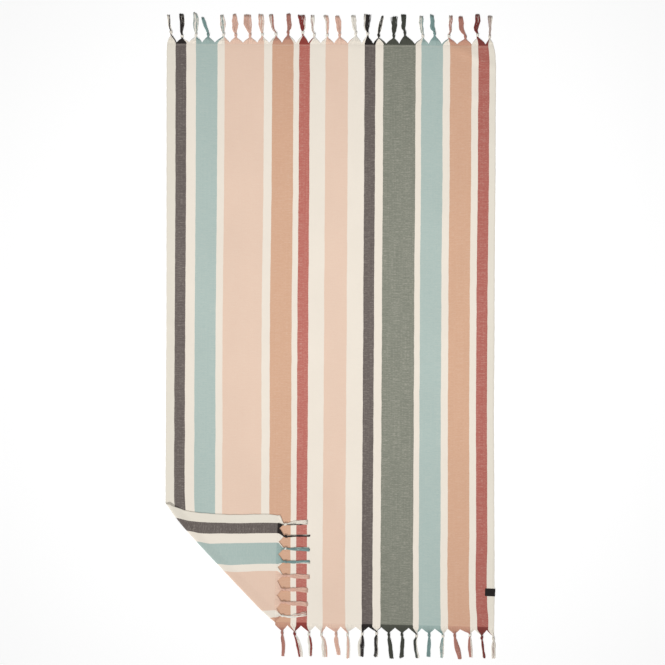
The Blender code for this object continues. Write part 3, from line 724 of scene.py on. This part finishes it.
class Strands:
    """Collects four-sided yarns and turns them into one mesh."""

    SIDES = 4
    CELL_MARGIN = 0.08
    END_PATCH = 0.02
    def __init__(self):
        self.points = []
        self.faces = []
        self.yarn_places = []
        self.twist_places = []
        self.cells = []
        self.smooth = []

    def add(self, path, radii, rises, across, reference, run=0.0, pressed=0):
        """Add a closed yarn round a path, with half its width and half its height at each ring.

        The reference is a direction off its line. The first pressed lengths of it stay flat-faced.
        """
        start = len(self.points)
        lengths = [run]
        for first, second in zip(path, path[1:]):
            lengths.append(lengths[-1] + (second - first).length)
        for index, spot in enumerate(path):
            tangent = path[min(index + 1, len(path) - 1)] - path[max(index - 1, 0)]
            side = tangent.cross(reference).normalized()
            up = side.cross(tangent).normalized()
            for corner in range(self.SIDES):
                angle = 2.0 * math.pi * corner / self.SIDES
                self.points.append(spot + side * (math.cos(angle) * radii[index])
                                   + up * (math.sin(angle) * rises[index]))
        for ring in range(len(path) - 1):
            for corner in range(self.SIDES):
                following = (corner + 1) % self.SIDES
                low = start + ring * self.SIDES
                high = low + self.SIDES
                self.faces.append((low + corner, high + corner, high + following, low + following))
                around = (corner / self.SIDES, (corner + 1) / self.SIDES)
                runs = (lengths[ring], lengths[ring + 1])
                self.add_places(across, (around[0], around[0], around[1], around[1]),
                                (runs[0], runs[1], runs[1], runs[0]), lengths)
        self.smooth += [False] * pressed * self.SIDES
        self.smooth += [True] * (len(path) - 1 - pressed) * self.SIDES + [False, False]
        last = start + (len(path) - 1) * self.SIDES
        self.faces.append(tuple(start + corner for corner in range(self.SIDES)))
        self.faces.append(tuple(last + corner for corner in reversed(range(self.SIDES))))
        patch = (lengths[-1] - run) * self.END_PATCH
        for end in (run, lengths[-1] - patch):
            self.add_places(across, (0.4, 0.6, 0.6, 0.4), (end, end, end + patch, end + patch), lengths)
        self.cells.append(len(self.twist_places))

    def add_places(self, across, around, runs, lengths):
        """Keep the map places of one face's corners."""
        for turn, run in zip(around, runs):
            self.yarn_places.append((across, run))
            self.twist_places.append((turn, run, (run - lengths[0]) / (lengths[-1] - lengths[0])))

    def bake_places(self):
        """Give each yarn its own cell of the square for a bake."""
        columns = math.ceil(math.sqrt(len(self.cells)))
        places = []
        for index, (start, stop) in enumerate(zip([0] + self.cells, self.cells)):
            for turn, _, share in self.twist_places[start:stop]:
                inset = (part_way(self.CELL_MARGIN, 1.0 - self.CELL_MARGIN, part) for part in (turn, share))
                corner = (index % columns, index // columns)
                places.append([(low + part) / columns for low, part in zip(corner, inset)])
        return places

    def build(self, name, material):
        """Make the mesh and its maps."""
        mesh = bpy.data.meshes.new(name)
        mesh.from_pydata(self.points, [], self.faces)
        add_map(mesh, "yarn", self.yarn_places)
        add_map(mesh, "twist", [(turn, run) for turn, run, _ in self.twist_places])
        add_map(mesh, "OFBake", self.bake_places())
        thing = link_mesh(name, mesh, material)
        mesh.polygons.foreach_set("use_smooth", self.smooth)
        return thing


def blend(values, share):
    """Go smoothly through the values for the tail's stations."""
    index = next(index for index, stop in enumerate(TAIL_STATIONS[1:]) if share <= stop)
    start, stop = TAIL_STATIONS[index:index + 2]
    part = (share - start) / (stop - start)
    before, first, second, after = (
        values[min(max(place, 0), len(values) - 1)] for place in range(index - 1, index + 3))
    return (first * (1 + 2 * part) * (1 - part) ** 2 + second * part ** 2 * (3 - 2 * part)
            + (second - before) / 2 * part * (1 - part) ** 2 - (after - first) / 2 * part ** 2 * (1 - part))


# A fringe runs out from the weave's end towards +Y (way 1) or -Y (way -1), or lies on the turned corner
FringeRow = namedtuple("FringeRow", "name node tassels ends end way turned root web shoulder seed")


def yarn_path(tassel, row, across, share, depth, fringe, cloth, chance):
    """Work out a yarn's way from the weave through the neck and the knot to the tip of the tail.

    The warp is rolled round into a bundle. The share is the yarn's place in it from the left, and the
    depth how far out from the bundle's middle it lies.
    """
    radius = fringe.yarn / 2
    centre, knot = tassel.place * MM, tassel.knot * MM
    neck, tail = knot - KNOT_LENGTH / 2, knot + KNOT_LENGTH / 2
    flat = cloth.thickness / 2 + ROOT_LIFT
    turn = 2.0 * math.pi * (share ** tassel.bunch + chance.gauss(0.0, tassel.mixed))

    def in_bundle(middle, half_width, half_height, top):
        away = turn - 2.0 * math.pi * top
        angle = math.pi / 2 + (away if tassel.turned else -away)
        fanned = ease((half_width - NECK_SIDE) / FAN_WIDTH)
        side = part_way(math.cos(angle), math.asin(math.cos(angle)) * 2.0 / math.pi, fanned)
        side *= half_width * depth ** (1.0 - FAN_EVEN * fanned)
        return middle + side, radius + half_height * (1.0 + depth * math.sin(angle))

    stations = [(across, row.root, flat), (across, row.web, flat)]
    side, lift = in_bundle(centre, NECK_SIDE, NECK_LIFT, tassel.tops[0])
    for step in GATHER_STEPS:
        gathered = (step / GATHERED) ** row.shoulder
        stations.append((part_way(across, side, gathered), part_way(row.web, neck, step),
                         part_way(flat, lift, gathered)))
    stations.append((side, neck, lift))
    side, lift = in_bundle(centre, NECK_SIDE * KNOT_SWELL, NECK_LIFT * KNOT_SWELL, tassel.tops[0])
    stations.append((side, knot, lift))
    sides = (0.0,) + tassel.sides
    widths = (2.0 * NECK_SIDE / MM + TAIL_SWELL,) + tassel.widths
    phase = chance.uniform(0.0, 2.0 * math.pi)
    waves = chance.uniform(*WAVE_COUNTS)
    ended = tassel.reach * MM + chance.gauss(0.0, TIP_SPREAD)
    for step in spread(0.0, 1.0, TAIL_RINGS - 1):
        middle = centre + blend(sides, step) * MM
        half_width = max(blend(widths, step) * MM / 2 - radius, radius)
        fanned = ease((half_width - NECK_SIDE) / FAN_WIDTH)
        half_height = NECK_LIFT * (1.0 - FAN_FLAT * fanned) * (1.0 - TIP_FLAT * ease(step))
        side, lift = in_bundle(middle, half_width, half_height, part_way(*tassel.tops, ease(step)))
        cut = tassel.cut * MM * (side - middle) / (2.0 * half_width)
        cut -= TIP_TUCK * (1.0 - (lift - radius) / (2.0 * half_height))
        crimp = fringe.crimp * math.sin(phase + 2.0 * math.pi * waves * step) * ease(step / WAVE_START)
        stations.append((side + crimp, part_way(tail, ended + cut, step), lift))
    return [fringe_point(row, *station, cloth) for station in stations]


def add_wraps(strands, tassel, row, warp, fringe, cloth, chance):
    """Wind the yarns of the knot round the bundle."""
    centre, knot = tassel.place * MM, tassel.knot * MM
    radius = fringe.yarn * WRAP_THICK
    pitch = (KNOT_LENGTH - 2.0 * radius) / (fringe.wraps - 1)
    out_way = fringe_point(row, centre, knot + MM, 0.0, cloth) - fringe_point(row, centre, knot, 0.0, cloth)
    slant = chance.choice((-1.0, 1.0)) * WRAP_SLANT
    wound = tassel.tops[0] if tassel.wound is None else tassel.wound
    for index in range(fringe.wraps):
        offset = (index - (fringe.wraps - 1) / 2) * pitch
        path = []
        for angle in spread(WRAP_START * math.pi, WRAP_STOP * math.pi, WRAP_STEPS):
            side = centre + (NECK_SIDE + WRAP_SIDE) * math.cos(angle)
            out = knot + offset * part_way(1.0, math.sin(angle), WRAP_CLOSING) + slant * math.cos(angle)
            lift = radius + (NECK_LIFT + WRAP_TOP) * (1.0 + math.sin(angle))
            path.append(fringe_point(row, side, out, lift, cloth))
        share = (wound + chance.uniform(-WRAP_MIX, WRAP_MIX)) % 1.0
        thick = [radius] * len(path)
        strands.add(path, thick, thick, part_way(*warp, share), out_way, knot)


def build_fringe(row, settings, material):
    """Build a row of knotted tassels from their loose yarns, past one end of the weave."""
    chance = random.Random(row.seed)
    fringe, cloth = settings.towel_fringe, settings.towel_cloth
    golden = (math.sqrt(5.0) - 1.0) / 2.0
    notches = [((first.place + second.place) / 2 + first.notch) * MM
               for first, second in zip(row.tassels, row.tassels[1:])]
    edges = [row.ends[0], *notches, row.ends[1]]
    strands = Strands()
    for tassel, low, high in zip(row.tassels, edges, edges[1:]):
        count = round((high - low) / fringe.pitch)
        start = chance.random()
        warp = [stripe_place(edge, row.end) for edge in (low, high)]
        for index in range(count):
            share = (index + 0.5) / count
            depth = math.sqrt(part_way(CORE_SHARE, 1.0, (start + index * golden) % 1.0))
            path = yarn_path(tassel, row, part_way(low, high, share), share, depth, fringe, cloth, chance)
            radius = fringe.yarn / 2 * chance.uniform(*YARN_SPREAD)
            tail = len(path) - TAIL_RINGS
            rises = [radius * (1.0 if ring <= tail else fringe.fluff) for ring in range(len(path))]
            radii = rises[:]
            for ring in range(WEB_RINGS):
                loose = ring / WEB_RINGS
                radii[ring] *= part_way(WEB_BREADTH, 1.0, loose)
                rises[ring] *= part_way(WEB_FLATNESS, 1.0, loose)
            strands.add(path, radii, rises, part_way(*warp, share), Vector((0.0, 0.0, 1.0)),
                        pressed=PRESSED_LENGTHS)
        add_wraps(strands, tassel, row, warp, fringe, cloth, chance)
    return strands.build(row.name, material)


# Materials

class Board:
    """Adds and joins the nodes of a material."""

    def __init__(self, name, roughness, sheen=0.0):
        self.material = bpy.data.materials.new(name)
        self.material.use_nodes = True
        self.tree = self.material.node_tree
        self.shader = self.tree.nodes["Principled BSDF"]
        self.shader.inputs["Roughness"].default_value = roughness
        self.shader.inputs["Specular IOR Level"].default_value = 0.25
        self.shader.inputs["Sheen Weight"].default_value = sheen
        self.shader.inputs["Sheen Roughness"].default_value = 0.5

    def fill(self, socket, value):
        """Join a socket to another, or set its value."""
        if isinstance(value, bpy.types.NodeSocket):
            self.tree.links.new(value, socket)
        elif socket.type == "RGBA":
            socket.default_value = (*value, 1.0)
        else:
            socket.default_value = value

    def add(self, kind, inputs, **settings):
        """Add a node with its settings, and fill its inputs, each given by its name or number."""
        node = self.tree.nodes.new("ShaderNode" + kind)
        for name, value in settings.items():
            setattr(node, name, value)
        for name, value in inputs.items():
            self.fill(node.inputs[name], value)
        return node

    def math(self, operation, *values):
        """Add a Math node."""
        return self.add("Math", dict(enumerate(values)), operation=operation).outputs[0]

    def plus(self, *values):
        """Add numbers up."""
        return reduce(lambda first, second: self.math("ADD", first, second), values)

    def times(self, *values):
        """Multiply numbers together."""
        return reduce(lambda first, second: self.math("MULTIPLY", first, second), values)

    def wave(self, value, length):
        """Go up and down once as a value grows by a length."""
        return self.math("SINE", self.times(value, 2.0 * math.pi / length))

    def places(self, kind, output, **settings):
        """Give the first two coordinates of a node that holds places."""
        parts = self.add("SeparateXYZ", {"Vector": self.add(kind, {}, **settings).outputs[output]})
        return parts.outputs["X"], parts.outputs["Y"]

    def uneven(self, x, y, amount, length, width, detail=2.0):
        """Vary by an amount either way, in spots of a length along x and a width along y, in metres."""
        spots = self.add(
            "CombineXYZ", {"X": self.math("DIVIDE", x, length), "Y": self.math("DIVIDE", y, width)})
        noise = self.add("TexNoise", {"Vector": spots.outputs[0], "Scale": 1.0, "Detail": detail},
                         noise_dimensions="2D")
        return self.times(self.math("SUBTRACT", noise.outputs["Fac"], 0.5), 2.0 * amount)

    def ramp(self, value, start, stop):
        """Go smoothly from 0 to 1 as a value goes from start to stop."""
        limits = {"Value": value, "From Min": start, "From Max": stop}
        return self.add("MapRange", limits, interpolation_type="SMOOTHSTEP").outputs["Result"]

    def mix(self, share, first, second):
        """Mix two colours, by a share that the node keeps between 0 and 1."""
        return self.add("Mix", {"Factor": share, 6: first, 7: second}, data_type="RGBA").outputs[2]

    def stripes(self, across, *palettes):
        """Give the colours, from each palette, and the depth of the stripe at a place across the cloth."""
        colours = [getattr(shades, STRIPES[0].shade) for shades in palettes]
        depth = STRIPES[0].depth
        edge = 0.0
        for before, stripe in zip(STRIPES, STRIPES[1:]):
            edge += before.width * MM
            reached = self.math("GREATER_THAN", across, edge)
            colours = [self.mix(reached, colour, getattr(shades, stripe.shade))
                       for colour, shades in zip(colours, palettes)]
            depth = self.plus(depth, self.times(reached, stripe.depth - before.depth))
        return (*colours, depth)

    def finish(self, colour, level, roughness, height, strength, distance):
        """Join a colour times its level, a roughness and a bump to the shader, and give the material."""
        levelled = self.add("VectorMath", {0: colour, "Scale": level}, operation="SCALE")
        bump = self.add("Bump", {"Height": height, "Strength": strength, "Distance": distance})
        self.fill(self.shader.inputs["Base Color"], levelled.outputs[0])
        self.fill(self.shader.inputs["Roughness"], roughness)
        self.fill(self.shader.inputs["Normal"], bump.outputs["Normal"])
        return self.material


def woven_material(settings):
    """Make the striped plain weave: coloured warp under a cream weft."""
    cloth, woven = settings.towel_cloth, settings.towel_woven
    board = Board("striped_plain_weave", 0.92, sheen=0.08)
    across, along = board.places("UVMap", "UV", uv_map="weave")
    wander = board.uneven(along, across, 0.0010, length=0.045, width=0.30)
    ragged = board.uneven(along, across, 0.00035, length=0.0016, width=0.02, detail=1.0)
    base, yarn, depth = board.stripes(board.plus(across, wander, ragged), woven, settings.towel_yarn)

    # Slubs, flecks and streaks show more the deeper a stripe's colour is, and less again in the darkest
    slub = board.uneven(across, along, 0.10, length=0.030, width=0.0022, detail=3.0)
    fleck = board.uneven(across, along, 0.10, length=0.0065, width=0.0022)
    thread = board.uneven(along, across, 0.05, length=0.220, width=0.0016)
    growing = board.plus(0.5, board.times(depth, 2.1))
    falling = board.plus(7.1, board.times(depth, -5.1))
    streaks = board.times(board.plus(slub, fleck, thread), board.math("MINIMUM", growing, falling))
    loose = board.plus(across, board.uneven(along, across, 0.0004, length=0.012, width=0.012))
    over = board.times(board.wave(loose, 2.0 * cloth.end_pitch), board.wave(along, 2.0 * cloth.pick_pitch))
    share = board.plus(streaks, board.times(over, -0.08))
    mixed = board.mix(share, base, woven.cream)
    mixed = board.mix(board.times(share, -1.0), mixed, yarn)

    # Painted shade: the stripes take a little of the yarn's deeper colour towards both ends, where the light
    # falls off; the yarn's own colour also shows more where the weft gives out
    from_middle = board.plus(board.times(along, 2.0 / WOVEN_LENGTH), -1.0)
    looser = board.times(board.ramp(along, *WEFT_STOPS), depth)
    # painted shade, growing towards both ends
    ends = board.times(from_middle, from_middle, PAINTED_END_SHADE)
    mixed = board.mix(board.math("MAXIMUM", ends, looser), mixed, yarn)
    last_picks = board.math("COMPARE", along, WOVEN_LENGTH - LAST_PICKS, BAND_HALF)
    mixed = board.mix(board.times(last_picks, 0.08), mixed, woven.cream)

    side_away = board.math("MINIMUM", across, board.math("SUBTRACT", WIDTH, across))
    selvedge = board.math("LESS_THAN", side_away, SELVEDGE_BAND)
    mottle = board.uneven(across, along, 0.03, length=0.11, width=0.16, detail=3.0)
    level = board.plus(1.0, mottle, board.times(selvedge, -0.05))
    height = board.plus(board.math("ABSOLUTE", over), board.times(slub, 4.0), fleck)
    return board.finish(mixed, level, board.plus(0.9, fleck), height, strength=0.45, distance=0.0003)


def yarn_material(settings):
    """Make the loose warp yarn: each in the colour of its place in the warp, softly twisted."""
    board = Board("loose_warp_yarn", 0.95, sheen=0.12)
    across, along = board.places("UVMap", "UV", uv_map="yarn")
    around, _ = board.places("UVMap", "UV", uv_map="twist")
    woven, loose, depth = board.stripes(across, settings.towel_woven, settings.towel_yarn)
    colour = board.mix(board.math("MAXIMUM", board.ramp(along, 0.005, 0.022), depth), woven, loose)
    own = board.uneven(across, along, 0.16, length=0.0007, width=0.6, detail=0.0)
    patchy = board.uneven(across, along, 0.10, length=0.0011, width=0.007)
    ply = board.wave(board.plus(around, board.math("DIVIDE", along, TWIST_LENGTH)), 1.0)
    # own and patchy vary the yarn's tone at random; the ply term is painted light and shade, lighter on the
    # twist's ridges and darker in its grooves
    level = board.plus(1.0, own, patchy, board.times(ply, 0.06))
    height = board.plus(ply, board.times(patchy, 6.0))
    return board.finish(colour, level, board.plus(0.94, patchy), height, strength=0.4, distance=0.0002)


def ribbon_material(settings):
    """Make the fine black ribbon of the tab, with a slanting twill."""
    board = Board("label_ribbon", 0.75)
    x, y = board.places("TexCoord", "Object")
    twill = board.wave(board.plus(x, y), TWILL_PITCH)
    fleck = board.uneven(x, y, 0.25, length=0.0016, width=0.0009)
    # The flecks vary the tone at random; the twill term is painted light and shade, lighter along the ribs
    # and darker between them
    level = board.plus(1.0, fleck, board.times(twill, 0.12))
    height = board.plus(twill, fleck)
    return board.finish(settings.towel_label.shade, level, board.plus(0.7, fleck), height, strength=0.3,
                        distance=0.0002)


# The tab

def select_vertices(mesh, test):
    """Select the vertices of the mesh in edit mode that pass a test of their place."""
    bpy.ops.mesh.select_mode(type="VERT")
    bpy.ops.mesh.select_all(action="DESELECT")
    work = bmesh.from_edit_mesh(mesh)
    for vertex in work.verts:
        vertex.select = test(vertex.co)
    work.select_flush_mode()
    bmesh.update_edit_mesh(mesh)


def build_label(settings, material):
    """Fold a ribbon into the bare tab, from a grid whose outer edge is drawn up and back."""
    label = settings.towel_label
    low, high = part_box("side_label")
    middle = (low + high) / 2
    bpy.ops.object.select_all(action="DESELECT")
    bpy.ops.mesh.primitive_grid_add(
        x_subdivisions=TAB_CUTS[0], y_subdivisions=TAB_CUTS[1], size=1.0, location=(0.0, 0.0, 0.0))
    tab = bpy.context.object
    tab.name = "side_label_tab"
    tab.data.name = "side_label_tab"
    bpy.ops.object.mode_set(mode="EDIT")
    bpy.ops.transform.resize(value=(label.length - label.ribbon, label.width, 1.0))
    edge = (label.length - label.ribbon) / 2
    select_vertices(tab.data, lambda co: co.x > edge - SNAP)
    bend = label.ribbon * TAB_GAP
    for rise, back in TAB_FOLD:
        bpy.ops.mesh.extrude_edges_move(
            TRANSFORM_OT_translate={"value": (bend * back, 0.0, bend * rise)})
    step = (label.length - 2.0 * label.ribbon) / TAB_STEPS
    for _ in range(TAB_STEPS):
        bpy.ops.mesh.extrude_edges_move(TRANSFORM_OT_translate={"value": (-step, 0.0, 0.0)})
    bpy.ops.mesh.select_all(action="SELECT")
    bpy.ops.mesh.normals_make_consistent(inside=False)
    bpy.ops.transform.rotate(value=TAB_SLANT, orient_axis="Z", center_override=(0.0, 0.0, 0.0))
    bpy.ops.transform.translate(value=(middle.x, middle.y, low.z + label.ribbon * TAB_REST))
    bpy.ops.object.mode_set(mode="OBJECT")
    thick = tab.modifiers.new("ribbon", "SOLIDIFY")
    thick.thickness = label.ribbon
    thick.offset = 0.0
    soft = tab.modifiers.new("soft", "SUBSURF")
    soft.levels = 1
    soft.render_levels = 1
    for name in ("ribbon", "soft"):
        bpy.ops.object.modifier_apply(modifier=name)
    tab.data.materials.append(material)
    tab.data.shade_smooth()
    return tab


# The operators

def replace_node(piece, node):
    """Let a piece stand for a node of the frame."""
    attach(piece, "root")
    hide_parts(node)


class TOWEL_OT_weave_cloth(bpy.types.Operator):
    """Lay the striped woven panel, with its near left corner turned over"""

    bl_idname = "towel.weave_cloth"
    bl_label = "Weave Cloth"

    def execute(self, context):
        scene = context.scene
        piece = build_cloth(scene.towel_cloth, woven_material(scene))
        replace_node(piece, "towel_cloth")
        return {"FINISHED"}


class TOWEL_OT_knot_fringes(bpy.types.Operator):
    """Knot the loose warp ends into the three fringes"""

    bl_idname = "towel.knot_fringes"
    bl_label = "Knot Fringes"

    def execute(self, context):
        scene = context.scene
        material = yarn_material(scene)
        radius = scene.towel_fringe.yarn / 2
        start = roll_start(0.0, scene.towel_cloth.thickness)
        stop = start - math.pi * ROLL_RADIUS / FOLD_INWARD.x
        near_root = NEAR_OVERHANG - ROOT_DEPTH
        rows = (
            FringeRow("far_tassels", "far_fringe", FAR_TASSELS, (radius, WIDTH - radius), WOVEN_LENGTH, 1.0,
                      False, -ROOT_DEPTH, FAR_WEB, FAR_SHOULDER, FAR_SEED),
            FringeRow("near_tassels", "near_fringe", NEAR_TASSELS, (start, WIDTH - radius), 0.0, -1.0,
                      False, near_root, NEAR_WEB, NEAR_SHOULDER, NEAR_SEED),
            FringeRow("corner_tassels", "corner_fringe", CORNER_TASSELS, (radius, stop), 0.0, -1.0,
                      True, near_root, CORNER_WEB, NEAR_SHOULDER, CORNER_SEED),
        )
        for row in rows:
            piece = build_fringe(row, scene, material)
            replace_node(piece, row.node)
        return {"FINISHED"}


class TOWEL_OT_sew_label(bpy.types.Operator):
    """Fold the bare tab and set it at the right selvedge"""

    bl_idname = "towel.sew_label"
    bl_label = "Sew Label"

    def execute(self, context):
        scene = context.scene
        piece = build_label(scene, ribbon_material(scene))
        replace_node(piece, "side_label")
        return {"FINISHED"}


class TOWEL_OT_set_stage(bpy.types.Operator):
    """Set the floor, the soft lights and the camera above the towel"""

    bl_idname = "towel.set_stage"
    bl_label = "Set Stage"

    def execute(self, context):
        stage = context.scene.towel_stage
        lay_floor(stage)
        hang_lights(context.scene, stage)
        place_camera(context.scene, stage)
        return {"FINISHED"}


def lay_floor(stage):
    """Lay a plain pale floor."""
    bpy.ops.object.select_all(action="DESELECT")
    bpy.ops.mesh.primitive_plane_add(size=FLOOR_SIDE, location=(0.0, 0.0, -FLOOR_DROP))
    floor = bpy.context.object
    floor.name = "floor"
    board = Board("plain_floor", 0.9)
    for name in ("Base Color", "Emission Color"):
        board.fill(board.shader.inputs[name], (stage.floor,) * 3)
    board.shader.inputs["Emission Strength"].default_value = stage.glow
    floor.data.materials.append(board.material)


def hang_light(kind, name, spot, **settings):
    """Hang a light that faces the towel's middle."""
    bpy.ops.object.light_add(type=kind, location=spot)
    light = bpy.context.object
    light.name = name
    for setting, value in settings.items():
        setattr(light.data, setting, value)
    light.rotation_mode = "QUATERNION"
    light.rotation_quaternion = Vector(spot).to_track_quat("Z", "Y")
    light.visible_camera = False


def hang_lights(scene, stage):
    """Light the towel evenly from above, a little more from the near side."""
    hang_light("AREA", "overhead_light", OVERHEAD_SPOT, shape="SQUARE", size=OVERHEAD_SIDE,
               energy=stage.overhead)
    hang_light("SUN", "near_light", NEAR_SPOT, energy=stage.near_side, angle=NEAR_SPREAD)
    world = bpy.data.worlds.new("sky")
    world.use_nodes = True
    background = world.node_tree.nodes["Background"]
    background.inputs["Color"].default_value = (1.0, 1.0, 1.0, 1.0)
    background.inputs["Strength"].default_value = stage.sky
    scene.world = world
    scene.view_settings.view_transform = "Standard"
    scene.view_settings.look = "None"


def place_camera(scene, stage):
    """Look straight down on the towel with a long lens."""
    above = VIEW_CENTRE + Vector((0.0, 0.0, stage.height))
    bpy.ops.object.camera_add(location=above, rotation=(0.0, 0.0, 0.0))
    camera = bpy.context.object
    camera.data.lens = camera.data.sensor_width * stage.height / stage.view
    camera.data.clip_end = 100.0
    scene.camera = camera


class TOWEL_PT_sidebar(bpy.types.Panel):
    """Lists the towel's settings and the steps that make it"""

    bl_idname = "TOWEL_PT_sidebar"
    bl_label = "Striped Towel"
    bl_space_type = "VIEW_3D"
    bl_region_type = "UI"
    bl_category = "Towel"

    def draw(self, context):
        layout = self.layout
        for name, group in SETTINGS.items():
            box = layout.box()
            box.label(text=group.__doc__)
            for row in group.__annotations__:
                box.prop(getattr(context.scene, name), row)
        for step in STEPS:
            layout.operator(step.bl_idname)


SETTINGS = {
    "towel_woven": TowelWovenShades,
    "towel_yarn": TowelYarnShades,
    "towel_cloth": TowelClothSettings,
    "towel_fringe": TowelFringeSettings,
    "towel_label": TowelLabelSettings,
    "towel_stage": TowelStageSettings,
}
STEPS = (TOWEL_OT_set_stage, TOWEL_OT_weave_cloth, TOWEL_OT_knot_fringes, TOWEL_OT_sew_label)


def register():
    """Add the settings, the steps and the panel."""
    for name, group in SETTINGS.items():
        bpy.utils.register_class(group)
        setattr(bpy.types.Scene, name, PointerProperty(type=group))
    for step in STEPS:
        bpy.utils.register_class(step)
    bpy.utils.register_class(TOWEL_PT_sidebar)


def unregister():
    """Take them away again."""
    bpy.utils.unregister_class(TOWEL_PT_sidebar)
    for step in reversed(STEPS):
        bpy.utils.unregister_class(step)
    for name, group in reversed(SETTINGS.items()):
        delattr(bpy.types.Scene, name)
        bpy.utils.unregister_class(group)


def main():
    """Make the whole towel and its stage."""
    register()
    bpy.ops.towel.set_stage()
    bpy.ops.towel.weave_cloth()
    bpy.ops.towel.knot_fringes()
    bpy.ops.towel.sew_label()


if __name__ == "__main__":
    main()
